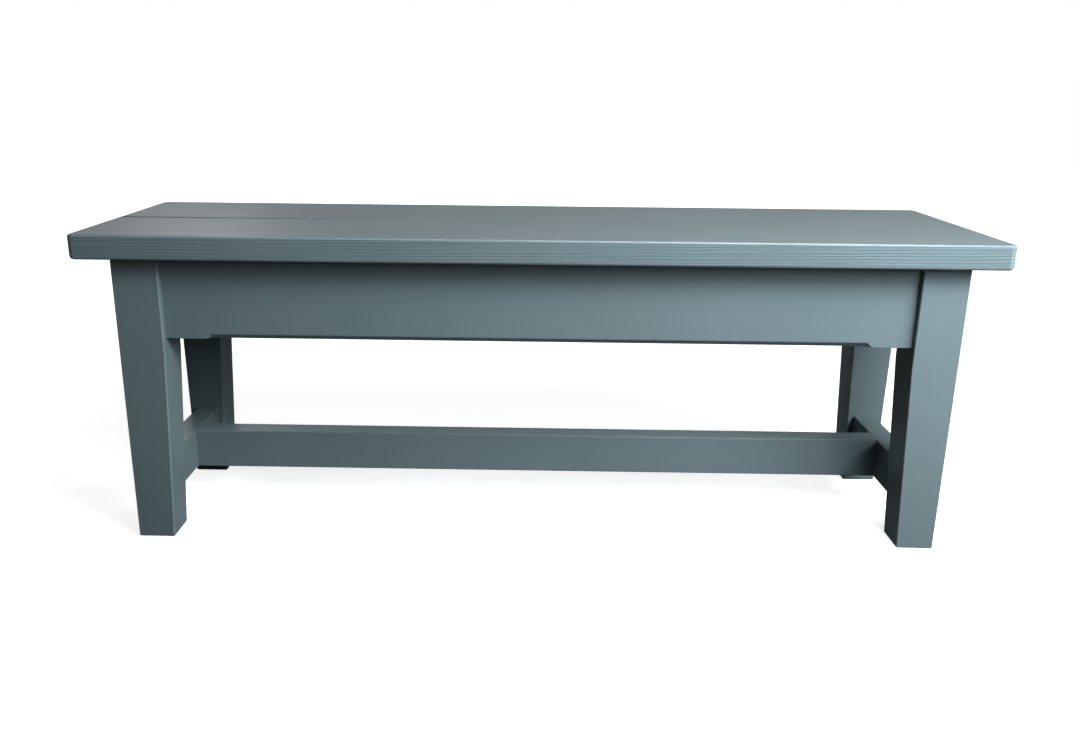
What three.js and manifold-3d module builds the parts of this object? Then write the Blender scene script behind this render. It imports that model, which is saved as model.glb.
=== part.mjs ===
// A painted joiner-made bench: a two-board seat on four tapered legs, four aprons, and a low H of rails.
// Millimetres, +X along the bench, +Y to its rear, +Z up. The origin is on the floor under the seat's centre.

import * as THREE from 'three';
import { mergeVertices } from 'three/addons/utils/BufferGeometryUtils.js';
import Module from 'manifold-3d';

// Seat
const seatLength = 1220;
const seatHeight = 440;
const boardWidth = 175;
const boardThickness = 33;
const seatArris = 3.5;
const seatCornerRadius = 7;
const endOverhang = 42;
const sideOverhang = 28;

// Legs, tapered on their two inner faces
const legSection = 62;
const footSection = 51;
const taperDrop = 24;
const legArris = 2;
const footChamfer = 2.5;

// Aprons, with a stopped chamfer on the lower outer arris of the long ones
const apronHeight = 114;
const apronThickness = 21;
const apronSetback = 10;
const apronArris = 1.2;
const chamferHeight = 7;
const chamferDepth = 8;
const chamferInset = 52;
const stopLength = 10;

// Haunched and mitred apron tenons
const apronTenon = 9;
const tenonFoot = 8;
const haunchHeight = 26;
const haunchLength = 12;
const mitreGap = 0.7;

// Low rails and the stretcher, planed from one stock
const railHeight = 59;
const railThickness = 33;
const railRise = 55;
const railSetback = 13;
const railArris = 2;
const railTenon = 11;
const railTenonShoulder = 10;
const railTenonLength = 30;
const stretcherTenonLength = 22;

// Room in the joints
const glueLine = 0.1;
const jointPlay = 0.2;
const mortiseSlack = 1.5;

// Biscuits along the seat's glue line
const biscuitLength = 56;
const biscuitWidth = 23;
const biscuitThickness = 4;
const biscuitPlay = 0.3;
const biscuitCount = 5;
const biscuitSpreadShare = 0.82;

// Turn-buttons that hold the seat down, with their tongues in slots in the aprons
const buttonLength = 36;
const buttonWidth = 32;
const buttonThickness = 20;
const buttonRelief = 0.8;
const buttonStandoff = 2;
const tongueLength = 11;
const tongueThickness = 9;
const tongueDrop = 10;
const slotSlack = 2;
const slotSidePlay = 4;
const longButtonShares = [-0.36, 0, 0.36];
const endButtonShares = [-0.25, 0.25];

// Countersunk screws through the buttons
const screwLength = 38;
const screwHeadRadius = 4;
const screwHeadHeight = 2.6;
const screwShankRadius = 2;
const screwTip = 4;
const screwClearance = 0.3;

// How far a cutter runs past the face that it cuts
const overrun = 5;

// Facets of the rounded forms
const arrisFacets = 3;
const stopFacets = 8;
const biscuitFacets = 12;
const screwFacets = 16;

// Places worked out from the sizes above
const seatDepth = 2 * boardWidth;
const underside = seatHeight - boardThickness;
const frameTop = underside - glueLine;
const legX = seatLength / 2 - endOverhang;
const legY = seatDepth / 2 - sideOverhang;
const apronBottom = frameTop - apronHeight;
const taperTop = apronBottom - taperDrop;
const longClear = 2 * (legX - legSection);
const endClear = 2 * (legY - legSection);
const apronTenonNear = apronSetback + (apronThickness - apronTenon) / 2;
const apronTenonRange = [apronTenonNear, apronTenonNear + apronTenon];
const apronTenonHeights = [tenonFoot, apronHeight - haunchHeight];
const haunchHeights = [apronHeight - haunchHeight - overrun, apronHeight];
const railCentre = railSetback + railThickness / 2;
const railTenonHeights = [railTenonShoulder, railHeight - railTenonShoulder];
const railInnerX = legX - railSetback - railThickness;
const apronInnerFace = apronSetback + apronThickness;

const wasm = await Module();
wasm.setup();

const paint = new THREE.MeshStandardMaterial({ color: '#56676d', roughness: 0.42, metalness: 0 });
const beech = new THREE.MeshStandardMaterial({ color: '#c39a6b', roughness: 0.6, metalness: 0 });
const steel = new THREE.MeshStandardMaterial({ color: '#b9b6a8', roughness: 0.35, metalness: 0.9 });

// Basis changes that lay an extrusion along the bench, or across it
const alongX = new THREE.Matrix4().makeBasis(
  new THREE.Vector3(0, 1, 0),
  new THREE.Vector3(0, 0, 1),
  new THREE.Vector3(1, 0, 0),
);
const alongY = new THREE.Matrix4().makeBasis(
  new THREE.Vector3(0, 0, 1),
  new THREE.Vector3(1, 0, 0),
  new THREE.Vector3(0, 1, 0),
);

// A closed three.js geometry as a solid that can be cut and joined. At the poles of a turned shape some
// triangles fold to a line once the shared vertices are merged, and those are dropped.
function solid(geometry) {
  const bare = geometry.clone();
  bare.deleteAttribute('normal');
  bare.deleteAttribute('uv');
  const merged = mergeVertices(bare);
  const vertProperties = new Float32Array(merged.attributes.position.array);
  const corners = Array.from(merged.index.array);
  const triangles = [];
  for (let i = 0; i < corners.length; i += 3) {
    const triangle = corners.slice(i, i + 3);
    if (new Set(triangle).size === 3) triangles.push(...triangle);
  }
  const triVerts = new Uint32Array(triangles);
  return new wasm.Manifold(new wasm.Mesh({ numProp: 3, vertProperties, triVerts }));
}

// A solid as a named mesh
function piece(name, shape, material) {
  const cut = shape.getMesh();
  const geometry = new THREE.BufferGeometry();
  geometry.setAttribute('position', new THREE.BufferAttribute(cut.vertProperties, cut.numProp));
  geometry.setIndex(new THREE.BufferAttribute(cut.triVerts, 1));
  geometry.computeVertexNormals();
  const mesh = new THREE.Mesh(geometry, material);
  mesh.name = name;
  return mesh;
}

// A squared block between the low and high end of each range
function block(x, y, z) {
  const sizes = [x, y, z].map(([low, high]) => high - low);
  const middles = [x, y, z].map(([low, high]) => (low + high) / 2);
  return solid(new THREE.BoxGeometry(...sizes).translate(...middles));
}

function grown([low, high], margin) {
  return [low - margin, high + margin];
}

function raised([low, high], height) {
  return [low + height, high + height];
}

// The range itself on the plus hand, or its mirror image on the minus hand
function handed([low, high], hand) {
  return hand > 0 ? [low, high] : [-high, -low];
}

// A rectangle with rounded corners, as a shape that runs counter-clockwise
function roundedRectangle([left, right], [bottom, top], radius) {
  const shape = new THREE.Shape();
  shape.absarc(right - radius, bottom + radius, radius, -Math.PI / 2, 0);
  shape.absarc(right - radius, top - radius, radius, 0, Math.PI / 2);
  shape.absarc(left + radius, top - radius, radius, Math.PI / 2, Math.PI);
  shape.absarc(left + radius, bottom + radius, radius, Math.PI, 1.5 * Math.PI);
  shape.closePath();
  return shape;
}

// A closed body skinned over convex rings of as many points each, counter-clockwise along the way they go
function loft(rings) {
  const count = rings[0].length;
  const positions = rings.flat().flatMap((point) => point.toArray());
  const index = [];
  for (let ring = 0; ring + 1 < rings.length; ring += 1) {
    for (let i = 0; i < count; i += 1) {
      const here = ring * count + i;
      const next = ring * count + ((i + 1) % count);
      index.push(here, next, next + count);
      index.push(here, next + count, here + count);
    }
  }
  const last = (rings.length - 1) * count;
  for (let i = 1; i + 1 < count; i += 1) {
    index.push(0, i + 1, i);
    index.push(last, last + i, last + i + 1);
  }
  const geometry = new THREE.BufferGeometry();
  geometry.setAttribute('position', new THREE.Float32BufferAttribute(positions, 3));
  geometry.setIndex(index);
  return geometry;
}

// The leg's width at a height: full section above the taper, narrowing in a straight line to the foot
function legWidthAt(height) {
  const rise = Math.min(height / taperTop, 1);
  return footSection + (legSection - footSection) * rise;
}

// The two seat boards are ripped from one blank whose outer arrises and corners are rounded
function seatBlank() {
  const outline = roundedRectangle(
    [-seatLength / 2, seatLength / 2],
    [-seatDepth / 2, seatDepth / 2],
    seatCornerRadius,
  );
  const blank = new THREE.ExtrudeGeometry(outline, {
    depth: boardThickness - 2 * seatArris,
    bevelThickness: seatArris,
    bevelSize: seatArris,
    bevelOffset: -seatArris,
    bevelSegments: arrisFacets,
    curveSegments: arrisFacets,
  });
  return solid(blank.translate(0, 0, seatArris));
}

// A biscuit, or the slots for it when play is given. Its two edges are arcs that meet at the tips.
function biscuitGeometry(play) {
  const halfLength = biscuitLength / 2 + play;
  const halfWidth = biscuitWidth / 2 + play;
  const radius = (halfLength ** 2 + halfWidth ** 2) / (2 * halfWidth);
  const reach = Math.asin(halfLength / radius);
  const centre = radius - halfWidth;
  const outline = new THREE.Shape();
  outline.absarc(0, -centre, radius, Math.PI / 2 - reach, Math.PI / 2 + reach);
  outline.absarc(0, centre, radius, 1.5 * Math.PI - reach, 1.5 * Math.PI + reach);
  const thickness = biscuitThickness + 2 * play;
  const lens = new THREE.ExtrudeGeometry(outline, {
    depth: thickness,
    bevelEnabled: false,
    curveSegments: biscuitFacets,
  });
  return lens.translate(0, 0, (boardThickness - thickness) / 2);
}

function biscuitPlaces() {
  const spread = seatLength * biscuitSpreadShare;
  const pitch = spread / (biscuitCount - 1);
  return Array.from({ length: biscuitCount }, (_, i) => i * pitch - spread / 2);
}

// Places along an apron for its buttons. On the ends there are two, so that no screw meets the glue line.
const longButtonPlaces = longButtonShares.map((share) => share * longClear);
const endButtonPlaces = endButtonShares.map((share) => share * endClear);

// Where each button stands against its apron's inner face, and how far it is turned about the vertical.
// Unturned, a button stands behind the front apron and its tongue points to the front.
function buttonPlaces() {
  const insetX = legX - apronInnerFace;
  const insetY = legY - apronInnerFace;
  return [
    ...longButtonPlaces.map((x) => ({ x, y: -insetY, turn: 0 })),
    ...longButtonPlaces.map((x) => ({ x, y: insetY, turn: Math.PI })),
    ...endButtonPlaces.map((y) => ({ x: -insetX, y, turn: -Math.PI / 2 })),
    ...endButtonPlaces.map((y) => ({ x: insetX, y, turn: Math.PI / 2 })),
  ];
}

const buttonTop = underside - buttonRelief;
const buttonBottom = buttonTop - buttonThickness;
const screwReach = buttonStandoff + buttonLength / 2;

// The place of a button's screw on the underside of the seat
function screwPlace({ x, y, turn }) {
  return [x - screwReach * Math.sin(turn), y + screwReach * Math.cos(turn)];
}

// A countersunk screw that points up from its head, or the hole for it when room is given
function screwGeometry(room) {
  const head = screwHeadRadius + room;
  const shank = screwShankRadius + room;
  const profile = [
    new THREE.Vector2(0, -room),
    new THREE.Vector2(head, -room),
    new THREE.Vector2(shank, screwHeadHeight),
    new THREE.Vector2(shank, screwLength - screwTip),
    new THREE.Vector2(0, screwLength + room),
  ];
  return new THREE.LatheGeometry(profile, screwFacets).rotateX(Math.PI / 2);
}

function seatBoards() {
  const group = new THREE.Group();
  const blank = seatBlank();
  const slots = biscuitPlaces().map((x) => solid(biscuitGeometry(biscuitPlay).translate(x, 0, 0)));
  const holes = buttonPlaces().map((place) => {
    const [x, y] = screwPlace(place);
    return solid(screwGeometry(screwClearance).translate(x, y, buttonBottom - underside));
  });
  const cuts = [...slots, ...holes];
  const half = [glueLine / 2, seatDepth / 2 + overrun];
  for (const [name, hand] of [['seat_board_front', -1], ['seat_board_rear', 1]]) {
    const side = block(grown([-seatLength / 2, seatLength / 2], overrun), handed(half, hand),
      grown([0, boardThickness], overrun));
    const board = cuts.reduce((rest, cut) => rest.subtract(cut), blank.intersect(side));
    group.add(piece(name, board, paint));
  }
  biscuitPlaces().forEach((x, i) => {
    const biscuit = piece(`seat_biscuit_${i + 1}`, solid(biscuitGeometry(0)), beech);
    biscuit.position.x = x;
    group.add(biscuit);
  });
  group.position.z = underside;
  return group;
}

// One leg with its outer corner at the origin. On the plus hand its inner faces look along +X and +Y.
function legSolid(hand) {
  const ring = (height, inset) => {
    const span = [inset, legWidthAt(height) - inset];
    const outline = roundedRectangle(handed(span, hand), span, legArris);
    return outline.getPoints(arrisFacets).slice(0, -1).map((p) => new THREE.Vector3(p.x, p.y, height));
  };
  const body = solid(loft([ring(0, footChamfer), ring(footChamfer, 0), ring(taperTop, 0), ring(frameTop, 0)]));

  // The two apron mortises meet in the leg, each with a haunch socket that is open at the leg's top
  const cheek = grown(apronTenonRange, jointPlay);
  const deep = [apronTenonNear - mortiseSlack, legSection + overrun];
  const heights = grown(raised(apronTenonHeights, apronBottom), jointPlay);
  const socket = [legSection - haunchLength - mortiseSlack, legSection + overrun];
  const open = [apronBottom + apronHeight - haunchHeight, frameTop + overrun];
  const railMiddle = railRise + railHeight / 2;
  const railDeep = [legWidthAt(railMiddle) - railTenonLength - mortiseSlack, legSection + overrun];
  const railCheek = grown([railCentre - railTenon / 2, railCentre + railTenon / 2], jointPlay);
  const railHeights = grown(raised(railTenonHeights, railRise), jointPlay);
  const mortises = [
    block(handed(deep, hand), cheek, heights),
    block(handed(cheek, hand), deep, heights),
    block(handed(socket, hand), cheek, open),
    block(handed(cheek, hand), socket, open),
    block(handed(railCheek, hand), railDeep, railHeights),
  ];
  return mortises.reduce((rest, mortise) => rest.subtract(mortise), body);
}

function legs() {
  const group = new THREE.Group();
  const shapes = new Map([[1, legSolid(1)], [-1, legSolid(-1)]]);
  for (const [endName, end] of [['left', -1], ['right', 1]]) {
    for (const [sideName, side] of [['front', -1], ['rear', 1]]) {
      const leg = piece(`leg_${sideName}_${endName}`, shapes.get(end * side), paint);
      leg.position.set(end * legX, side * legY, 0);
      leg.rotation.z = side > 0 ? Math.PI : 0;
      group.add(leg);
    }
  }
  return group;
}

// A planed bar with eased arrises, its length centred on the origin along the given basis.
// The ranges lie along the first and second axis of that basis.
function easedBar(first, second, arris, length, basis) {
  const bar = new THREE.ExtrudeGeometry(roundedRectangle(first, second, arris), {
    depth: length,
    bevelEnabled: false,
    curveSegments: arrisFacets,
  });
  return solid(bar.translate(0, 0, -length / 2).applyMatrix4(basis));
}

// The cutter of a chamfer that runs out at both ends in a lamb's tongue: over the length of the stop the cut
// grows from nothing to full along an S-curve
function stoppedChamfer(length) {
  const slope = new THREE.Vector2(chamferDepth, -chamferHeight).normalize().multiplyScalar(overrun);
  const ring = (x, share) => [
    new THREE.Vector3(x, -overrun, -overrun),
    new THREE.Vector3(x, chamferDepth * share + slope.x, slope.y),
    new THREE.Vector3(x, -slope.x, chamferHeight * share - slope.y),
  ];
  const start = -length / 2 + chamferInset;
  const steps = Array.from({ length: stopFacets + 1 }, (_, i) => i / stopFacets);
  const ramp = steps.map((t) => ({ x: start + t * stopLength, share: t * t * (3 - 2 * t) }));
  const tail = ramp.map(({ x, share }) => ({ x: -x, share })).reverse();
  return solid(loft([...ramp, ...tail].map(({ x, share }) => ring(x, share))));
}

// An apron with its outer face on the local XZ plane, its length along X and its bottom edge at the origin.
// Its tenons fill the middle of the thickness, have a short haunch at the top, and are mitred at their ends,
// where each meets the tenon of the apron round the corner.
function apronSolid(clear, chamfered) {
  const length = clear - 2 * glueLine;
  const body = easedBar([0, apronThickness], [0, apronHeight], apronArris, length, alongX);
  const cheek = raised(apronTenonRange, -apronSetback);
  const reachAt = (depth) => clear / 2 + legSection - apronSetback - depth - mitreGap;
  const plan = new THREE.Shape([
    new THREE.Vector2(-reachAt(cheek[0]), cheek[0]),
    new THREE.Vector2(reachAt(cheek[0]), cheek[0]),
    new THREE.Vector2(reachAt(cheek[1]), cheek[1]),
    new THREE.Vector2(-reachAt(cheek[1]), cheek[1]),
  ]);
  const [tenonBottom, tenonTop] = apronTenonHeights;
  const tenons = new THREE.ExtrudeGeometry(plan, { depth: tenonTop - tenonBottom, bevelEnabled: false });
  const haunchReach = clear / 2 + haunchLength;
  const haunches = block([-haunchReach, haunchReach], cheek, haunchHeights);
  const joined = body.add(solid(tenons.translate(0, 0, tenonBottom))).add(haunches);
  return chamfered ? joined.subtract(stoppedChamfer(length)) : joined;
}

// Slots for button tongues in an apron's inner face, at places along its length
function buttonSlots(places) {
  const width = buttonWidth / 2 + slotSidePlay;
  const inner = [apronThickness - tongueLength, apronThickness + overrun];
  const top = underside - tongueDrop - apronBottom;
  const heights = [top - tongueThickness - slotSlack, top];
  return places.map((x) => block([x - width, x + width], inner, heights));
}

function aprons() {
  const group = new THREE.Group();
  const cutSlots = (shape, places) => buttonSlots(places).reduce((rest, slot) => rest.subtract(slot), shape);
  const long = cutSlots(apronSolid(longClear, true), longButtonPlaces);
  const short = cutSlots(apronSolid(endClear, false), endButtonPlaces);
  const places = [
    ['apron_front', long, 0, -1, 0],
    ['apron_rear', long, 0, 1, Math.PI],
    ['apron_end_left', short, -1, 0, -Math.PI / 2],
    ['apron_end_right', short, 1, 0, Math.PI / 2],
  ];
  for (const [name, shape, end, side, turn] of places) {
    const apron = piece(name, shape, paint);
    apron.position.set(end * (legX - apronSetback), side * (legY - apronSetback), apronBottom);
    apron.rotation.z = turn;
    group.add(apron);
  }
  return group;
}

// A low end rail with its outer face on the local YZ plane. Its shoulders lean with the taper of the legs,
// so its bottom edge is longer than its top edge.
function railSolid() {
  const halfAt = (height) => legY - legWidthAt(railRise + height) - glueLine;
  const bar = easedBar([0, railHeight], [0, railThickness], railArris, seatDepth, alongY);
  const shoulders = new THREE.Shape([
    new THREE.Vector2(-halfAt(-overrun), -overrun),
    new THREE.Vector2(halfAt(-overrun), -overrun),
    new THREE.Vector2(halfAt(railHeight + overrun), railHeight + overrun),
    new THREE.Vector2(-halfAt(railHeight + overrun), railHeight + overrun),
  ]);
  const trim = solid(
    new THREE.ExtrudeGeometry(shoulders, { depth: railThickness + 2 * overrun, bevelEnabled: false })
      .translate(0, 0, -overrun)
      .applyMatrix4(alongX),
  );
  const middle = railThickness / 2;
  const cheek = [middle - railTenon / 2, middle + railTenon / 2];
  const reach = halfAt(railHeight / 2) + glueLine + railTenonLength;
  const tenons = block(cheek, [-reach, reach], railTenonHeights);
  const mortise = block(
    [railThickness - stretcherTenonLength - mortiseSlack, railThickness + overrun],
    grown([-railTenon / 2, railTenon / 2], jointPlay),
    grown(railTenonHeights, jointPlay),
  );
  return bar.intersect(trim).add(tenons).subtract(mortise);
}

// The long stretcher, tenoned between the two end rails
function stretcherSolid() {
  const shoulder = railInnerX - glueLine;
  const half = railThickness / 2;
  const bar = easedBar([-half, half], [0, railHeight], railArris, 2 * shoulder, alongX);
  const reach = railInnerX + stretcherTenonLength;
  return bar.add(block([-reach, reach], [-railTenon / 2, railTenon / 2], railTenonHeights));
}

function lowFrame() {
  const group = new THREE.Group();
  const rail = railSolid();
  for (const [name, end] of [['rail_left', -1], ['rail_right', 1]]) {
    const mesh = piece(name, rail, paint);
    mesh.position.x = end * (legX - railSetback);
    mesh.rotation.z = end > 0 ? Math.PI : 0;
    group.add(mesh);
  }
  group.add(piece('stretcher', stretcherSolid(), paint));
  group.position.z = railRise;
  return group;
}

// A button is an L-shaped block: the tongue bears up under its slot's top face and the screw draws the
// body towards the seat
function buttonSolid() {
  const body = block(
    [-buttonWidth / 2, buttonWidth / 2],
    [buttonStandoff, buttonStandoff + buttonLength],
    [buttonBottom, buttonTop],
  );
  const tongueTop = underside - tongueDrop - glueLine;
  const tongue = block(
    [-buttonWidth / 2, buttonWidth / 2],
    [buttonStandoff - tongueLength, buttonStandoff + overrun],
    [tongueTop - tongueThickness, tongueTop],
  );
  const hole = solid(screwGeometry(screwClearance).translate(0, screwReach, buttonBottom));
  return body.add(tongue).subtract(hole);
}

function buttons() {
  const group = new THREE.Group();
  const button = buttonSolid();
  const screw = solid(screwGeometry(0).translate(0, screwReach, buttonBottom));
  buttonPlaces().forEach(({ x, y, turn }, i) => {
    const fixing = new THREE.Group();
    fixing.add(piece(`seat_button_${i + 1}`, button, beech));
    fixing.add(piece(`seat_screw_${i + 1}`, screw, steel));
    fixing.position.set(x, y, 0);
    fixing.rotation.z = turn;
    group.add(fixing);
  });
  return group;
}

const bench = new THREE.Group();
bench.name = 'bench';
bench.add(seatBoards());
bench.add(legs());
bench.add(aprons());
bench.add(lowFrame());
bench.add(buttons());

export default bench;
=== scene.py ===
"""Looks of a painted softwood bench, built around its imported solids.

A seat of two boards stands on four tapered legs, four aprons and a low H of rails. All of it is pine in satin
slate paint. Beech turn-buttons and zinc-plated screws hold the seat down from below. Everything is in metres,
+X along the bench, +Y to its rear and +Z up, with the origin on the floor under the seat's centre.
"""

import logging
import math
from collections.abc import Mapping, Sequence
from dataclasses import dataclass, field
from enum import Enum

import bmesh
import bpy
from bmesh.types import BMEdge, BMesh, BMFace, BMVert
from bpy.types import Camera, Light, Material, Mesh, Node, NodeSocket, NodeTree, Object
from mathutils import Matrix, Vector


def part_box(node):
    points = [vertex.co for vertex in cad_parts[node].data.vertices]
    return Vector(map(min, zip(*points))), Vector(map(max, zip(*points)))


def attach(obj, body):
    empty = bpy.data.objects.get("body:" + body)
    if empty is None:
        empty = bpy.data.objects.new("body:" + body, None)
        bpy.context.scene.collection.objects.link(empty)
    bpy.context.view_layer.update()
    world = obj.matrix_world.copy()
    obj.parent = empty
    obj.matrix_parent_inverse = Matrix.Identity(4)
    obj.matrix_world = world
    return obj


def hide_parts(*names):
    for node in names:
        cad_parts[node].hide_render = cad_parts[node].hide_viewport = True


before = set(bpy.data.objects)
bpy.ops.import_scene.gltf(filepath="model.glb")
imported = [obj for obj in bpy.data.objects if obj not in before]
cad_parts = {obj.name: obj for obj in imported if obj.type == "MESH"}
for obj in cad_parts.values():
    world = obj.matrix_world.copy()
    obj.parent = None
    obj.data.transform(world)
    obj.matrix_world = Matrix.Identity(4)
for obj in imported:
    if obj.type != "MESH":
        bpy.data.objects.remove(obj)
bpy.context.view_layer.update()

MM = 0.001
X, Y, Z = 0, 1, 2
ROOT = "root"

WHITE = "#ffffff"
# A Wave Texture draws this many rings in a metre at a scale of 1.
WAVE_RINGS = 20.0 / math.tau
# The Mix node's sockets share their names, so they go by number.
FACTOR = 0
NUMBER_A, NUMBER_B = 2, 3
COLOUR_A, COLOUR_B = 6, 7

# Two places this close are one, and a score this close to a point runs through it.
TOUCHING = 0.01 * MM
MERGED = 0.001 * MM
# The cosine from which a face counts as looking along an axis.
LOOKING = 0.9
# Edges sharper than this stay sharp between smooth faces.
SHARP_ANGLE = math.radians(40)

log = logging.getLogger("bench")


def linear(colour: str) -> tuple[float, float, float, float]:
    """Turns an sRGB colour into the linear values that a shader takes.

    Args:
        colour: Six hex digits after a #.

    Returns:
        Red, green, blue and an alpha of 1.
    """
    shares = [int(colour[i : i + 2], 16) / 255 for i in (1, 3, 5)]
    red, green, blue = (s / 12.92 if s <= 0.04045 else ((s + 0.055) / 1.055) ** 2.4 for s in shares)
    return red, green, blue, 1.0


def per_metre(millimetres: float) -> float:
    """The scale of a noise whose marks are about that wide."""
    return 1.0 / (millimetres * MM)


def add_node(
    tree: NodeTree,
    kind: str,
    inputs: Mapping[str | int, object] | None = None,
    **settings: object,
) -> Node:
    """Adds a node to a tree.

    Args:
        tree: The material's or the world's node tree.
        kind: The node's type name after "ShaderNode".
        inputs: Its sockets by name or number, each with a value, with the socket that feeds it, or with the
            node that feeds it from its first output in use.
        settings: Its own properties, such as an operation.

    Returns:
        The new node.
    """
    node = tree.nodes.new(f"ShaderNode{kind}")
    for name, value in settings.items():
        setattr(node, name, value)
    for name, value in (inputs or {}).items():
        if isinstance(value, Node):
            value = next(output for output in value.outputs if output.enabled)
        if isinstance(value, NodeSocket):
            tree.links.new(value, node.inputs[name])
        else:
            node.inputs[name].default_value = value
    return node


def new_material(name: str) -> tuple[Material, NodeTree]:
    """Starts a material with an empty node tree.

    Args:
        name: Its name.

    Returns:
        The material and its tree.
    """
    material = bpy.data.materials.new(name)
    material.use_nodes = True
    material.node_tree.nodes.clear()
    return material, material.node_tree


def show(name: str, data: Mesh | Light | Camera) -> Object:
    """Puts a mesh, a lamp or a camera into the scene.

    Args:
        name: The object's name.
        data: What it holds.

    Returns:
        The object.
    """
    holder = bpy.data.objects.new(name, data)
    bpy.context.scene.collection.objects.link(holder)
    return holder


class Grain(Enum):
    """Which way a piece's grain runs, as the turn that lays it along a pattern's own X axis."""

    LENGTHWAYS = (0.0, 0.0, 0.0)
    CROSSWAYS = (0.0, 0.0, -math.pi / 2)
    UPRIGHT = (0.0, math.pi / 2, 0.0)


class Surface(Enum):
    """The faces of a piece that take a finish of their own, by material slot."""

    OUTSIDE = 0
    JOINT = 1


class Dress(Enum):
    """How a piece is dressed: the word that ends its name, and a material slot name that is not used here."""

    PAINTED = ("painted", "painted_softwood")
    PLANED = ("planed", "beech")
    PLATED = ("plated", "zinc_steel")


@dataclass(frozen=True)
class Cut:
    """How a piece was sawn from its log.

    Attributes:
        centre: The middle of the piece in the frame.
        grain: The way its grain runs.
        pith: How far its middle lies from the log's pith, in the pattern's second and third direction.
        lean: Its turns against the pith about those two directions, which make the rings run out.
    """

    centre: Vector
    grain: Grain
    pith: tuple[float, float]
    lean: tuple[float, float] = (0.0, 0.0)


@dataclass(frozen=True)
class Figure:
    """Growth rings, fibres and slow drift of wood, drawn from Object coordinates. Sizes are in millimetres.

    Attributes:
        ring_pitch: Width of a year's ring.
        vigour_width: How far across the rings they stay strong or weak.
        vigour_range: The noise over which they go from weakest to strongest.
        weakest: The share of a weak ring that still shows.
        drift_width: How far across the grain the rings keep the same bend.
        drift: How far the rings wander from circles.
        drift_stretch: As stretch, for the bends.
        fibre_width: Width of a bundle of fibres. Real ones are a tenth of that, which no render shows.
        stretch: How much longer a mark is along the grain than across it, as a share turned over.
    """

    ring_pitch: float = 4.0
    vigour_width: float = 6.0
    vigour_range: tuple[float, float] = (0.35, 0.65)
    weakest: float = 0.15
    drift_width: float = 45.0
    drift: float = 7.0
    drift_roughness: float = 0.45
    drift_stretch: float = 0.18
    fibre_width: float = 1.1
    stretch: float = 0.035

    def draw(self, tree: NodeTree, cut: Cut) -> dict[str, NodeSocket]:
        """Draws the figure for one piece.

        Args:
            tree: The material's node tree.
            cut: How the piece was sawn.

        Returns:
            The sockets of the pattern's place, of its long marks, and of its rings and fibres from 0 to 1.
        """
        turned = Matrix.Rotation(cut.grain.value[Z], 3, "Z") @ Matrix.Rotation(cut.grain.value[Y], 3, "Y")
        place = add_node(tree, "Mapping", {
            "Vector": add_node(tree, "TexCoord").outputs["Object"],
            "Rotation": cut.grain.value,
            "Location": -(turned @ cut.centre),
        })
        tilted = add_node(tree, "Mapping", {
            "Vector": place,
            "Rotation": (0.0, *cut.lean),
            "Location": (0.0, *cut.pith),
        })
        long, slow = (
            add_node(tree, "Mapping", {"Vector": tilted, "Scale": (stretch, 1.0, 1.0)})
            for stretch in (self.stretch, self.drift_stretch)
        )
        wander = add_node(tree, "TexNoise", {
            "Vector": slow,
            "Scale": per_metre(self.drift_width),
            "Roughness": self.drift_roughness,
        }).outputs["Color"]
        bent = add_node(tree, "VectorMath", {
            0: wander,
            1: (self.drift * MM,) * 3,
            2: tilted,
        }, operation="MULTIPLY_ADD")
        rings = add_node(tree, "TexWave", {
            "Vector": bent,
            "Scale": per_metre(self.ring_pitch) / WAVE_RINGS,
        }, wave_type="RINGS", rings_direction="X").outputs["Fac"]
        across = add_node(tree, "VectorMath", {0: bent, 1: (0.0, 1.0, 1.0)}, operation="MULTIPLY")
        year = add_node(tree, "CombineXYZ", {
            "X": add_node(tree, "SeparateXYZ", {"Vector": long}).outputs["X"],
            "Y": add_node(tree, "VectorMath", {0: across}, operation="LENGTH").outputs["Value"],
        })
        vigour = add_node(tree, "TexNoise", {
            "Vector": year,
            "Scale": per_metre(self.vigour_width),
            "Detail": 1.0,
        })
        strong = add_node(tree, "MapRange", {
            "Value": vigour,
            "From Min": self.vigour_range[0],
            "From Max": self.vigour_range[1],
            "To Min": self.weakest,
        }, interpolation_type="SMOOTHSTEP")
        years = add_node(tree, "Math", {0: rings, 1: strong}, operation="MULTIPLY")
        fibres = add_node(tree, "TexNoise", {
            "Vector": long,
            "Scale": per_metre(self.fibre_width),
            "Detail": 1.0,
        })
        return {
            "place": place.outputs["Vector"],
            "long": long.outputs["Vector"],
            "rings": years.outputs["Value"],
            "fibres": fibres.outputs["Fac"],
        }


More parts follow.
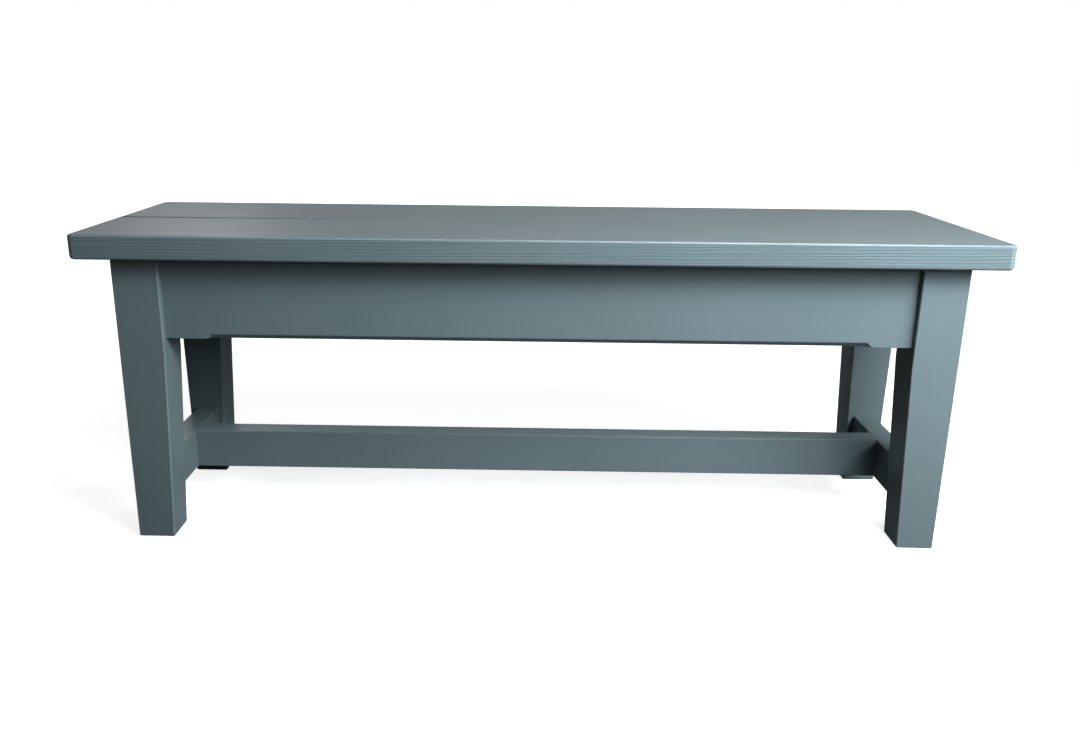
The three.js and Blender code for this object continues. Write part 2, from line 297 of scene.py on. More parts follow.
@dataclass(frozen=True)
class SatinPaint:
    """Water-based satin paint, brushed in two coats over planed and sanded pine.

    It gives the eye an even slate colour with a soft wide gleam. The rings of the pine stand up through it as
    fine lines, and the brush leaves faint streaks along the grain. The arrises are painted lighter, partly
    for the thinner film there and partly as a painted highlight along them. Widths and reliefs are in
    millimetres.

    Attributes:
        ring_range: The part of a ring's rise over which the ridge in the paint rises.
        mottle: How much of the colour's change follows the fibres, and not the slow waves of the plane.
    """

    colour: str = "#5a6a6f"
    shade: str = "#526266"
    # The lighter colour of the arrises: worn-thin paint, and a painted highlight along them.
    thin_film_and_highlight: str = "#728289"
    roughness: float = 0.3
    roughness_spread: float = 0.02
    ior: float = 1.45
    ring_range: tuple[float, float] = (0.1, 0.9)
    ring_relief: float = 0.1
    fibre_relief: float = 0.0015
    brush_relief: float = 0.007
    brush_width: float = 2.4
    plane_wave: float = 160.0
    plane_relief: float = 0.05
    mottle: float = 0.15
    # How much of that lighter colour the arrises take: part wear, part painted highlight.
    wear_and_highlight: float = 0.5
    figure: Figure = field(default_factory=Figure)

    def material(self, name: str, cut: Cut, relief: float) -> Material:
        """Paints one piece.

        Args:
            name: The piece that it is for.
            cut: How the piece was sawn.
            relief: How much its rings stand up, against a flat-sawn board.

        Returns:
            The material.
        """
        material, tree = new_material(f"satin_paint_brushed_on_pine.{name}")
        wood = self.figure.draw(tree, cut)
        ridges = add_node(tree, "MapRange", {
            "Value": wood["rings"],
            "From Min": self.ring_range[0],
            "From Max": self.ring_range[1],
        }, interpolation_type="SMOOTHSTEP")
        brush = add_node(tree, "TexNoise", {
            "Vector": wood["long"],
            "Scale": per_metre(self.brush_width),
            "Detail": 0.0,
        })
        planed = add_node(tree, "TexNoise", {
            "Vector": wood["place"],
            "Scale": per_metre(self.plane_wave),
            "Detail": 1.0,
        })
        height = 0.0
        for layer, amount in (
            (ridges, self.ring_relief * relief),
            (wood["fibres"], self.fibre_relief),
            (brush, self.brush_relief),
            (planed, self.plane_relief),
        ):
            height = add_node(tree, "Math", {0: layer, 1: amount * MM, 2: height}, operation="MULTIPLY_ADD")
        mottle = add_node(tree, "Mix", {FACTOR: self.mottle, NUMBER_A: planed, NUMBER_B: wood["fibres"]})
        body = add_node(tree, "Mix", {
            FACTOR: mottle,
            COLOUR_A: linear(self.shade),
            COLOUR_B: linear(self.colour),
        }, data_type="RGBA")
        arris = add_node(tree, "Attribute", attribute_name="arris").outputs["Fac"]
        # The arrises get a lighter colour, partly for thinner paint and partly as a painted highlight.
        film = add_node(tree, "Mix", {
            FACTOR: add_node(tree, "Math", {0: arris, 1: self.wear_and_highlight}, operation="MULTIPLY"),
            COLOUR_A: body,
            COLOUR_B: linear(self.thin_film_and_highlight),
        }, data_type="RGBA")
        rough = add_node(tree, "MapRange", {
            "Value": wood["fibres"],
            "To Min": self.roughness - self.roughness_spread,
            "To Max": self.roughness + self.roughness_spread,
        })
        shader = add_node(tree, "BsdfPrincipled", {
            "Base Color": film,
            "Roughness": rough,
            "IOR": self.ior,
            "Normal": add_node(tree, "Bump", {"Height": height, "Distance": 1.0}),
        })
        add_node(tree, "OutputMaterial", {"Surface": shader})
        return material


@dataclass(frozen=True)
class BareTimber:
    """Unfinished wood, as the saw, the plane or the press left it.

    It gives the eye a dull warm tone with darker late wood in the rings and no gleam. The relief of its
    fibres is in millimetres.
    """

    name: str
    early: str
    late: str
    roughness: float = 0.68
    ior: float = 1.5
    ring_range: tuple[float, float] = (0.2, 1.0)
    ring_share: float = 0.55
    relief: float = 0.03
    figure: Figure = field(default_factory=Figure)

    def material(self, name: str, cut: Cut) -> Material:
        """Makes the bare wood of one piece.

        Args:
            name: The piece that it is for.
            cut: How the piece was sawn.

        Returns:
            The material.
        """
        material, tree = new_material(f"{self.name}.{name}")
        wood = self.figure.draw(tree, cut)
        late = add_node(tree, "MapRange", {
            "Value": wood["rings"],
            "From Min": self.ring_range[0],
            "From Max": self.ring_range[1],
            "To Max": self.ring_share,
        }, interpolation_type="SMOOTHSTEP")
        tone = add_node(tree, "Math", {
            0: wood["fibres"],
            1: 1.0 - self.ring_share,
            2: late,
        }, operation="MULTIPLY_ADD")
        shader = add_node(tree, "BsdfPrincipled", {
            "Base Color": add_node(tree, "Mix", {
                FACTOR: tone,
                COLOUR_A: linear(self.early),
                COLOUR_B: linear(self.late),
            }, data_type="RGBA"),
            "Roughness": self.roughness,
            "IOR": self.ior,
            "Normal": add_node(tree, "Bump", {"Height": wood["fibres"], "Distance": self.relief * MM}),
        })
        add_node(tree, "OutputMaterial", {"Surface": shader})
        return material


@dataclass(frozen=True)
class ZincPlate:
    """Zinc plate over steel, barrel-plated and passivated.

    It gives the eye a pale warm grey metal with a clouded gleam. The passive film over the zinc is milky, so
    part of the light comes back matt, and the plate is less than wholly metallic. The clouds' width and
    relief are in millimetres.
    """

    colour: str = "#c9c5b6"
    dull: str = "#aba795"
    metallic: float = 0.6
    roughness: float = 0.33
    roughness_spread: float = 0.08
    cloud_width: float = 1.6
    cloud_detail: float = 3.0
    cloud_relief: float = 0.01

    def material(self) -> Material:
        """Makes the plate, the same on every screw.

        Returns:
            The material.
        """
        material, tree = new_material("steel_zinc_plated")
        clouds = add_node(tree, "TexNoise", {
            "Vector": add_node(tree, "TexCoord").outputs["Object"],
            "Scale": per_metre(self.cloud_width),
            "Detail": self.cloud_detail,
        })
        shader = add_node(tree, "BsdfPrincipled", {
            "Base Color": add_node(tree, "Mix", {
                FACTOR: clouds,
                COLOUR_A: linear(self.dull),
                COLOUR_B: linear(self.colour),
            }, data_type="RGBA"),
            "Metallic": self.metallic,
            "Roughness": add_node(tree, "MapRange", {
                "Value": clouds,
                "To Min": self.roughness - self.roughness_spread,
                "To Max": self.roughness + self.roughness_spread,
            }),
            "Normal": add_node(tree, "Bump", {"Height": clouds, "Distance": self.cloud_relief * MM}),
        })
        add_node(tree, "OutputMaterial", {"Surface": shader})
        return material


PAINT = SatinPaint()
BARE_PINE = BareTimber("pine_sawn_bare", "#d8b582", "#b58350")
PLANED_BEECH = BareTimber("beech_planed", "#c9a274", "#b08455", roughness=0.6, ring_share=0.3,
                          figure=Figure(ring_pitch=3.5, drift=3.0, fibre_width=0.8))
PRESSED_BEECH = BareTimber("beech_pressed", "#c69d6e", "#a97b4c", roughness=0.75, ring_share=0.2,
                           figure=Figure(ring_pitch=1.5, drift=2.0, fibre_width=0.8))


@dataclass(frozen=True)
class Stock:
    """The pine that the painted pieces of one kind are sawn from.

    Attributes:
        pith: How far a piece's middle lies from its log's pith, in the pattern's second and third direction.
        lean: Its turns against the pith about those two directions.
        relief: How much the rings stand up under the paint, against a flat-sawn board.
    """

    pith: tuple[float, float]
    lean: tuple[float, float]
    relief: float


@dataclass(frozen=True)
class Fit:
    """What differs between a tenon and the mortise that it sits in.

    Attributes:
        looks: 1 if it grows out of its shoulder, -1 if it sinks into a face that looks back at the tenon.
        play: Room on each cheek, above and below.
        slack: Room at the end.
        cover: How far its top stays under the top of the apron.
        mitre_gap: How far its end stays off the mitre plane inside the leg.
    """

    looks: int
    play: float
    slack: float
    cover: float
    mitre_gap: float


TENON = Fit(looks=1, play=0.0, slack=0.0, cover=1.5 * MM, mitre_gap=0.7 * MM)
MORTISE = Fit(looks=-1, play=0.2 * MM, slack=1.5 * MM, cover=1 * MM, mitre_gap=0.7 / 3 * MM)


def smoothstep(share: float) -> float:
    """Eases a share in and out, and holds it between 0 and 1."""
    share = min(max(share, 0.0), 1.0)
    return share * share * (3.0 - 2.0 * share)


def near(a: float, b: float) -> bool:
    """Says whether two places are one."""
    return abs(a - b) < TOUCHING


def unit(axis: int, length: float = 1.0) -> Vector:
    """A vector along an axis."""
    return Vector([length if i == axis else 0.0 for i in (X, Y, Z)])


def block(low: Vector, high: Vector) -> BMesh:
    """Starts a piece as a squared block.

    Args:
        low: Its lowest corner.
        high: Its highest corner.

    Returns:
        The block, which deliver() frees.
    """
    bm = bmesh.new()
    bmesh.ops.create_cube(bm, size=1.0)
    bmesh.ops.scale(bm, vec=high - low, verts=bm.verts)
    bmesh.ops.translate(bm, vec=(low + high) / 2, verts=bm.verts)
    return bm


def edges_at(bm: BMesh, places: Mapping[int, float]) -> list[BMEdge]:
    """Finds edges by their place.

    Args:
        bm: The piece.
        places: The place on each of some axes that both ends of an edge share.

    Returns:
        The edges.
    """
    return [edge for edge in bm.edges
            if all(near(vert.co[axis], place) for vert in edge.verts for axis, place in places.items())]


def edges_along(bm: BMesh, axis: int, length: float = MM) -> list[BMEdge]:
    """Finds the edges that reach further than a length along an axis."""
    return [edge for edge in bm.edges if abs(edge.verts[0].co[axis] - edge.verts[1].co[axis]) > length]


def ease(bm: BMesh, edges: Sequence[BMEdge], width: float, facets: int) -> list[BMVert]:
    """Rounds an arris.

    Args:
        bm: The piece.
        edges: The edges along it.
        width: How far the rounding reaches over each face.
        facets: Facets across it.

    Returns:
        The points of the rounding.
    """
    made = bmesh.ops.bevel(bm, geom=list(edges), offset=width, offset_type="OFFSET", segments=facets,
                           profile=0.5, affect="EDGES", clamp_overlap=True, material=-1)
    for face in made["faces"]:
        face.smooth = True
    return made["verts"]


def face_at(bm: BMesh, axis: int, looks: int, height: float) -> BMFace:
    """Finds a piece's largest face that looks one way.

    Args:
        bm: The piece.
        axis: The axis that the face looks along.
        looks: Which way along it, 1 or -1.
        height: A height that the face spans.

    Returns:
        The face.
    """
    bm.normal_update()
    looking = []
    for face in bm.faces:
        heights = [vert.co.z for vert in face.verts]
        if face.normal[axis] * looks > LOOKING and min(heights) - MM < height < max(heights) + MM:
            looking.append(face)
    return max(looking, key=BMFace.calc_area)


def score(bm: BMesh, faces: Sequence[BMFace], axis: int, places: Sequence[float]) -> list[BMFace]:
    """Scores flat faces across an axis.

    Args:
        bm: The piece.
        faces: The faces.
        axis: The axis that the scores are square to.
        places: Where on that axis each score lies.

    Returns:
        The faces that the scores leave.
    """
    parts = list(faces)
    for place in places:
        geometry = {item for part in parts for item in (part, *part.edges, *part.verts)}
        cut = bmesh.ops.bisect_plane(bm, geom=list(geometry), dist=MERGED,
                                     plane_co=unit(axis, place), plane_no=unit(axis))
        parts = [item for item in cut["geom"] if isinstance(item, BMFace)]
    return parts


def window(bm: BMesh, face: BMFace, spans: Mapping[int, tuple[float, float]]) -> BMFace:
    """Scores a rectangular window into one flat face.

    Args:
        bm: The piece.
        face: The face.
        spans: The window's low and high end on one axis or two.

    Returns:
        The face inside the window.
    """
    region = [face]
    for axis, (low, high) in spans.items():
        parts = score(bm, region, axis, (low, high))
        region = [part for part in parts if low < part.calc_center_median()[axis] < high]
    return region[0]


def push(bm: BMesh, face: BMFace, axis: int, place: float) -> BMFace:
    """Pushes a face out as a tenon, or in as a mortise, with sides of bare wood.

    Args:
        bm: The piece.
        face: The face to push.
        axis: The axis it moves along.
        place: Where on that axis it ends, squared off.

    Returns:
        The face at the end.
    """
    end = bmesh.ops.extrude_discrete_faces(bm, faces=[face])["faces"][0]
    for vert in end.verts:
        vert.co[axis] = place
    for part in {wall for edge in end.edges for wall in edge.link_faces}:
        part.material_index = Surface.JOINT.value
    return end


def joint(
    bm: BMesh,
    axis: int,
    looks: int,
    height: float,
    spans: Mapping[int, tuple[float, float]],
    place: float,
) -> BMFace:
    """Makes one step of a joint on a flat face: a window in it, pushed in or out.

    Args:
        bm: The piece.
        axis: The axis that the face looks along.
        looks: Which way along it, 1 or -1.
        height: A height that the face spans.
        spans: The window's low and high end on two axes.
        place: Where on the first axis the window's face ends.

    Returns:
        The face at the end.
    """
    return push(bm, window(bm, face_at(bm, axis, looks, height), spans), axis, place)


def deliver(bm: BMesh, node: str, dress: Dress, materials: Sequence[Material]) -> Object:
    """Turns a finished bmesh into a piece that stands for its CAD node.

    Args:
        bm: The piece, with its rounded faces smooth.
        node: The CAD node's name.
        dress: How it is dressed.
        materials: The materials of Surface.OUTSIDE and, where its joints differ, of Surface.JOINT.

    Returns:
        The piece.
    """
    arris = bm.verts.layers.float.new("arris")
    for vert in bm.verts:
        vert[arris] = float(all(face.smooth for face in vert.link_faces))
    for face in bm.faces:
        face.smooth = True
        face.material_index = min(face.material_index, len(materials) - 1)
    word, slot = dress.value
    name = f"{node}_{word}"
    mesh = bpy.data.meshes.new(name)
    bm.to_mesh(mesh)
    bm.free()
    mesh.set_sharp_from_angle(angle=SHARP_ANGLE)
    for material in materials:
        mesh.materials.append(material)
    piece = show(name, mesh)
    piece.modifiers.new("flat_faces_stay_flat", "WEIGHTED_NORMAL").keep_sharp = True
    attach(piece, ROOT)
    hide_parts(node)
    return piece


def deliver_painted(
    bm: BMesh,
    node: str,
    stock: Stock,
    grain: Grain,
    pith_sides: tuple[int, int] = (1, 1),
    lean_sides: tuple[int, int] = (1, 1),
) -> Object:
    """Delivers a piece of pine that is painted outside and bare in its joints.

    Args:
        bm: The piece.
        node: The CAD node's name.
        stock: What it is sawn from.
        grain: The way its grain runs.
        pith_sides: The side that the pith lies on in each direction, 1 or -1.
        lean_sides: The way that it leans about each direction, 1 or -1.

    Returns:
        The piece.
    """
    low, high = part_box(node)
    pith, lean = (
        (first * sides[0], second * sides[1])
        for (first, second), sides in ((stock.pith, pith_sides), (stock.lean, lean_sides))
    )
    cut = Cut((low + high) / 2, grain, pith, lean)
    materials = (PAINT.material(node, cut, stock.relief), BARE_PINE.material(node, cut))
    return deliver(bm, node, Dress.PAINTED, materials)


@dataclass
class Seat:
    """Two boards glued edge to edge with biscuits, their outer arrises and corners rounded.

    At the left end the front board was sanded down towards the glue line, so that the rear board stands a
    little proud of it there. Towards the middle the two are flush.

    Attributes:
        joint_dip: How far the front board dips at the glue line.
        joint_slope: How far from the glue line the dip starts.
        dip_span: Where on X the dip is at its full depth, and where it ends.
    """

    corner_radius: float = 9 * MM
    corner_facets: int = 9
    top_arris: float = 2.8 * MM
    lower_arris: float = 5 * MM
    arris_facets: int = 5
    joint_ease: float = 0.25 * MM
    joint_facets: int = 4
    joint_dip: float = 1.5 * MM
    joint_slope: float = 12 * MM
    dip_span: tuple[float, float] = (-0.36, -0.14)
    joint_cuts: int = 16
    stock: Stock = Stock((12 * MM, 420 * MM), (0.010, 0.014), relief=2.3)
    biscuits: int = 5
    biscuit_play: float = 0.3 * MM
    biscuit_pith: tuple[float, float] = (0.0, 60 * MM)
    slot_steps: int = 5

    def build(self) -> list[Object]:
        """Makes both boards and dresses the biscuits.

        Returns:
            The pieces.
        """
        boards = [self.board("seat_board_front", 1), self.board("seat_board_rear", -1)]
        return boards + [self.biscuit(number) for number in range(1, self.biscuits + 1)]

    def biscuit(self, number: int) -> Object:
        """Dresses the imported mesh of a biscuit.

        Args:
            number: Its place in the row's node names.

        Returns:
            The piece.
        """
        node = f"seat_biscuit_{number}"
        low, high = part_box(node)
        cut = Cut((low + high) / 2, Grain.LENGTHWAYS, self.biscuit_pith)
        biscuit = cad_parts[node]
        biscuit.data.materials.clear()
        biscuit.data.materials.append(PRESSED_BEECH.material(node, cut))
        return biscuit

    def board(self, node: str, joint_side: int) -> Object:
        """Makes one board.

        Args:
            node: Its CAD node.
            joint_side: 1 if its glue line is on the +Y side, -1 if it is on the other.

        Returns:
            The piece.
        """
        low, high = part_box(node)
        glue_line = high.y if joint_side > 0 else low.y
        bm = block(low, high)
        corners = [edge for edge in edges_along(bm, Z) if edge not in edges_at(bm, {Y: glue_line})]
        ease(bm, corners, self.corner_radius, self.corner_facets)
        for height, width in ((high.z, self.top_arris), (low.z, self.lower_arris)):
            glued = edges_at(bm, {Y: glue_line})
            rim = [edge for edge in edges_at(bm, {Z: height}) if edge not in glued]
            ease(bm, rim, width, self.arris_facets)
        self.ease_joint(bm, glue_line, high.z, joint_side > 0)
        self.cut_biscuit_slots(bm, glue_line, joint_side)
        sides = (joint_side, 1)
        return deliver_painted(bm, node, self.stock, Grain.LENGTHWAYS, sides, sides)

    def ease_joint(self, bm: BMesh, glue_line: float, top: float, dips: bool) -> None:
        """Breaks the top arris along the glue line, and lets the board dip towards it at the left end.

        Args:
            bm: The board.
            glue_line: The glue line's place on Y.
            top: The height of the board's top face.
            dips: Whether this is the board that dips.
        """
        places = {Y: glue_line, Z: top}
        bmesh.ops.subdivide_edges(bm, edges=edges_at(bm, places), cuts=self.joint_cuts)
        full, none = self.dip_span
        for vert in ease(bm, edges_at(bm, places), self.joint_ease, self.joint_facets):
            share = smoothstep((none - vert.co.x) / (none - full)) if dips else 0.0
            away = (vert.co.y - glue_line) / self.joint_ease
            reach = self.joint_ease + (self.joint_slope - self.joint_ease) * share
            slope = (1.0 - abs(away)) * self.joint_dip
            vert.co.y = glue_line + away * reach
            vert.co.z = top - (1.0 - share) * (top - vert.co.z) - share * slope

    def cut_biscuit_slots(self, bm: BMesh, glue_line: float, joint_side: int) -> None:
        """Cuts the slots of the biscuits into the glue face, each as deep as its arc is wide.

        Args:
            bm: The board.
            glue_line: The glue line's place on Y.
            joint_side: 1 if the glue line is on the board's +Y side, -1 if it is on the other.
        """
        for number in range(1, self.biscuits + 1):
            low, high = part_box(f"seat_biscuit_{number}")
            middle = (low + high) / 2
            half = (high - low) / 2 + Vector((self.biscuit_play,) * 3)
            radius = (half.x**2 + half.y**2) / (2 * half.y)
            slot = window(bm, face_at(bm, Y, joint_side, middle.z), {
                axis: (middle[axis] - half[axis], middle[axis] + half[axis]) for axis in (X, Z)
            })
            for step in range(1, self.slot_steps + 1):
                depth = half.y * math.sin(math.pi / 2 * step / (self.slot_steps + 1))
                reach = math.sqrt(radius**2 - (radius - half.y + depth) ** 2)
                slot = push(bm, slot, Y, glue_line - joint_side * depth)
                for vert in slot.verts:
                    vert.co.x = middle.x + math.copysign(reach, vert.co.x - middle.x)


@dataclass
class Frame:
    """Legs, aprons, end rails and stretcher, tenoned together.

    Attributes:
        foot: The leg's width at the floor. It tapers on its two inner faces.
        taper_top: The height where the taper starts.
        chamfer_soft: How far the rounding of the chamfer's own two arrises reaches.
        chamfer_inset: How far from the shoulder the chamfer's stop ends.
        tenon: The thickness of the aprons' tenons.
        tenon_foot: How far over the apron's bottom they start.
        rail_tenon: The thickness of the tenons of the rails and the stretcher.
        rail_shoulder: How far they stay inside the rail's top and bottom.
        glue: The film of glue at a shoulder.
    """

    foot: float = 51 * MM
    taper_top: float = 268.9 * MM
    leg_arris: float = 1.8 * MM
    foot_arris: float = 2.5 * MM
    apron_arris: float = 1.2 * MM
    rail_arris: float = 1.5 * MM
    facets: int = 5
    fine_facets: int = 4
    chamfer_height: float = 7 * MM
    chamfer_depth: float = 8 * MM
    chamfer_soft: float = 0.6 * MM
    chamfer_inset: float = 52 * MM
    stop_length: float = 10 * MM
    stop_steps: int = 10
    tenon: float = 9 * MM
    tenon_foot: float = 8 * MM
    haunch_height: float = 26 * MM
    haunch_length: float = 12 * MM
    rail_tenon: float = 11 * MM
    rail_shoulder: float = 10 * MM
    rail_tenon_length: float = 30 * MM
    stretcher_tenon_length: float = 22 * MM
    glue: float = 0.1 * MM
    leg_stock: Stock = Stock((58 * MM, 75 * MM), (0.012, 0.016), relief=0.2)
    apron_stock: Stock = Stock((85 * MM, 14 * MM), (0.012, 0.02), relief=0.35)
    end_apron_stock: Stock = Stock((85 * MM, 9 * MM), (0.012, 0.02), relief=0.35)
    rail_stock: Stock = Stock((62 * MM, 55 * MM), (0.01, 0.02), relief=0.2)
    stretcher_stock: Stock = Stock((48 * MM, 66 * MM), (0.008, 0.012), relief=0.35)

    def __post_init__(self) -> None:
        """Reads the frame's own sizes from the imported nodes."""
        low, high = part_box("leg_front_left")
        self.corner = Vector((-low.x, -low.y, high.z))
        self.section = high.x - low.x
        self.apron_low, self.apron_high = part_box("apron_front")
        self.rail_low, self.rail_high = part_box("rail_left")
        self.rail_middle = (self.rail_low.z + self.rail_high.z) / 2

    def width_at(self, height: float) -> float:
        """The leg's width at a height."""
        return self.foot + (self.section - self.foot) * min(height / self.taper_top, 1.0)

    def build(self) -> list[Object]:
        """Makes every piece of the frame.

        Returns:
            The pieces.
        """
        ends = {"left": -1, "right": 1}
        sides = {"front": -1, "rear": 1}
        return [
            *(self.leg(f"leg_{side}_{end}", ends[end], sides[side]) for end in ends for side in sides),
            *(self.apron(f"apron_{side}", X, sides[side]) for side in sides),
            *(self.apron(f"apron_end_{end}", Y, ends[end]) for end in ends),
            *(self.rail(f"rail_{end}", ends[end]) for end in ends),
            self.stretcher(),
        ]

    def leg(self, node: str, end: int, side: int) -> Object:
        """Makes a leg with its mortises.

        Args:
            node: Its CAD node.
            end: -1 at the left end of the bench, 1 at the right.
            side: -1 at the front, 1 at the rear.

        Returns:
            The piece.
        """
        low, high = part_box(node)
        bm = block(low, high)
        everything = [*bm.verts, *bm.edges, *bm.faces]
        bmesh.ops.bisect_plane(bm, geom=everything, plane_co=unit(Z, self.taper_top), plane_no=unit(Z))
        for axis, way in ((X, end), (Y, side)):
            outer = self.corner[axis] * way
            inner = [v for v in bm.verts if near(v.co.z, low.z) and not near(v.co[axis], outer)]
            bmesh.ops.translate(bm, vec=unit(axis, way * (self.section - self.foot)), verts=inner)
        ease(bm, edges_along(bm, Z), self.leg_arris, self.facets)
        ease(bm, edges_at(bm, {Z: low.z}), self.foot_arris, self.fine_facets)
        self.apron_joint(bm, X, end, side, MORTISE)
        self.apron_joint(bm, Y, side, end, MORTISE)
        centre = math.copysign((self.rail_low.x + self.rail_high.x) / 2, end)
        shoulder = self.corner.y - self.width_at(self.rail_middle)
        self.rail_joint(bm, Y, side, centre, shoulder + self.rail_tenon_length, MORTISE)
        return deliver_painted(bm, node, self.leg_stock, Grain.UPRIGHT, (side, end * side), (end, side))

    def cheeks(self, across: int, way: int, play: float) -> tuple[float, float]:
        """The two cheeks of an apron's tenon, or of its mortise when play is given.

        Args:
            across: The axis through the apron's thickness.
            way: The side of the bench that the apron is on, -1 or 1.
            play: Room on each cheek.

        Returns:
            The low and the high cheek on that axis.
        """
        setback = self.corner.y + self.apron_low.y
        thickness = self.apron_high.y - self.apron_low.y
        outer = self.corner[across] - setback - (thickness - self.tenon) / 2 + play
        inner = outer - self.tenon - 2 * play
        return tuple(sorted((way * outer, way * inner)))

    def apron_joint(self, bm: BMesh, along: int, end: int, way: int, fit: Fit) -> None:
        """Makes the tenon and the haunch at one end of an apron, or cuts the room for both into a leg.

        Args:
            bm: The apron or the leg.
            along: The axis that the apron runs along.
            end: The joint's end of that axis, -1 or 1.
            way: The apron's side of the bench on the other axis, -1 or 1.
            fit: Whether it is a tenon or a mortise.
        """
        across = 1 - along
        foot = self.apron_low.z + self.tenon_foot - fit.play
        haunch = self.apron_high.z - self.haunch_height + fit.play
        shoulder = self.corner[along] - self.section
        stub = joint(bm, along, fit.looks * end, haunch, {
            across: self.cheeks(across, way, fit.play),
            Z: (foot, self.apron_high.z - fit.cover),
        }, end * (shoulder + self.haunch_length + fit.slack))
        tip = push(bm, window(bm, stub, {Z: (foot - MM, haunch)}), along, end * self.corner[along])
        for vert in tip.verts:
            reach = self.corner[along] - self.corner[across] + abs(vert.co[across]) - fit.mitre_gap
            vert.co[along] = math.copysign(reach, vert.co[along])

    def rail_joint(self, bm: BMesh, axis: int, end: int, centre: float, reach: float, fit: Fit) -> None:
        """Makes a tenon of a rail or of the stretcher, or cuts its mortise.

        Args:
            bm: The piece.
            axis: The axis that the tenon runs along.
            end: The joint's end of that axis, -1 or 1.
            centre: The tenon's middle on the other axis.
            reach: How far from the bench's middle the tenon ends.
            fit: Whether it is a tenon or a mortise.
        """
        half = self.rail_tenon / 2 + fit.play
        inset = self.rail_shoulder - fit.play
        joint(bm, axis, fit.looks * end, self.rail_middle, {
            1 - axis: (centre - half, centre + half),
            Z: (self.rail_low.z + inset, self.rail_high.z - inset),
        }, end * (reach + fit.slack))

    def apron(self, node: str, along: int, way: int) -> Object:
        """Makes an apron with its haunched and mitred tenons and its button slots.

        Args:
            node: Its CAD node.
            along: The axis that it runs along.
            way: The side of the bench that it is on, -1 or 1.

        Returns:
            The piece.
        """
        low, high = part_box(node)
        reach = self.corner[along] - self.section - self.glue
        low[along], high[along] = -reach, reach
        bm = block(low, high)
        if along == X:
            self.cut_stopped_chamfer(bm, high.y if way > 0 else low.y, low.z, reach)
        ease(bm, edges_along(bm, along, reach), self.apron_arris, self.fine_facets)
        self.cut_button_slots(bm, along, way)
        for end in (-1, 1):
            self.apron_joint(bm, along, end, way, TENON)
        if along == X:
            return deliver_painted(bm, node, self.apron_stock, Grain.LENGTHWAYS, (way, 1), (1, way))
        return deliver_painted(bm, node, self.end_apron_stock, Grain.CROSSWAYS, (-way, 1), (1, way))

    def cut_stopped_chamfer(self, bm: BMesh, outer: float, bottom: float, reach: float) -> None:
        """Cuts the chamfer along the lower outer arris, run out at both ends in a lamb's tongue.

        Args:
            bm: The apron, along X.
            outer: The outer face's place on Y.
            bottom: The height of the bottom face.
            reach: Half the apron's length between its shoulders.
        """
        start = reach - self.chamfer_inset
        stops = [start - self.stop_length * step / self.stop_steps for step in range(self.stop_steps + 1)]
        places = {Y: outer, Z: bottom}
        for place in sorted([*stops, *(-stop for stop in stops)]):
            geometry = {item for edge in edges_at(bm, places) for item in (edge, *edge.verts)}
            bmesh.ops.bisect_plane(bm, geom=list(geometry), plane_co=unit(X, place), plane_no=unit(X))
        columns: dict[float, list[BMVert]] = {}
        for vert in ease(bm, edges_at(bm, places), self.apron_arris, self.fine_facets):
            columns.setdefault(round(vert.co.x, 5), []).append(vert)
        inward = -math.copysign(1.0, outer)
        slope = math.hypot(self.chamfer_height, self.chamfer_depth)
        soft_y = self.chamfer_soft * self.chamfer_depth / slope
        soft_z = self.chamfer_soft * self.chamfer_height / slope
        # Depth and height of each of the points across the arris, one more than it has facets.
        profile = (
            (0.0, self.chamfer_height + self.chamfer_soft),
            (soft_y, self.chamfer_height - soft_z),
            (self.chamfer_depth / 2, self.chamfer_height / 2),
            (self.chamfer_depth - soft_y, soft_z),
            (self.chamfer_depth + self.chamfer_soft, 0.0),
        )
        for place, column in columns.items():
            share = smoothstep((start - abs(place)) / self.stop_length)
            column.sort(key=lambda vert: -vert.co.z)
            for vert, (depth, height) in zip(column, profile):
                target = Vector((vert.co.x, outer + inward * depth, bottom + height))
                vert.co = vert.co.lerp(target, share)

    def cut_button_slots(self, bm: BMesh, along: int, way: int) -> None:
        """Cuts the slots for the tongues of the buttons into an apron's inner face.

        Args:
            bm: The apron.
            along: The axis that it runs along.
            way: The side of the bench that it is on, -1 or 1.
        """
        across = 1 - along
        for fixing in Fixing.all():
            if fixing.along != across or fixing.way != way:
                continue
            low, high = fixing.tongue_heights()
            middle = fixing.centre[along]
            half = fixing.width / 2 + fixing.side_play
            joint(bm, across, -way, low, {
                along: (middle - half, middle + half),
                Z: (low - fixing.slot_slack, high + fixing.tongue_play),
            }, way * (fixing.tongue_end + fixing.slot_slack))

    def rail(self, node: str, end: int) -> Object:
        """Makes an end rail, whose shoulders lean with the taper of the legs.

        Args:
            node: Its CAD node.
            end: The end of the bench that it is on, -1 or 1.

        Returns:
            The piece.
        """
        low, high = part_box(node)
        half = self.corner.y - self.width_at(low.z) - self.glue
        low.y, high.y = -half, half
        bm = block(low, high)
        shorter = self.width_at(low.z) - self.width_at(high.z)
        for side in (-1, 1):
            shoulder = [v for v in bm.verts if near(v.co.z, high.z) and near(v.co.y, side * half)]
            bmesh.ops.translate(bm, vec=unit(Y, side * shorter), verts=shoulder)
        ease(bm, edges_along(bm, Y, half), self.rail_arris, self.facets)
        reach = self.corner.y - self.width_at(self.rail_middle) + self.rail_tenon_length
        for side in (-1, 1):
            self.rail_joint(bm, Y, side, (low.x + high.x) / 2, reach, TENON)
        self.rail_joint(bm, X, end, 0.0, self.stretcher_tenon_length - self.rail_high.x, MORTISE)
        return deliver_painted(bm, node, self.rail_stock, Grain.CROSSWAYS, (end, 1), (1, end))

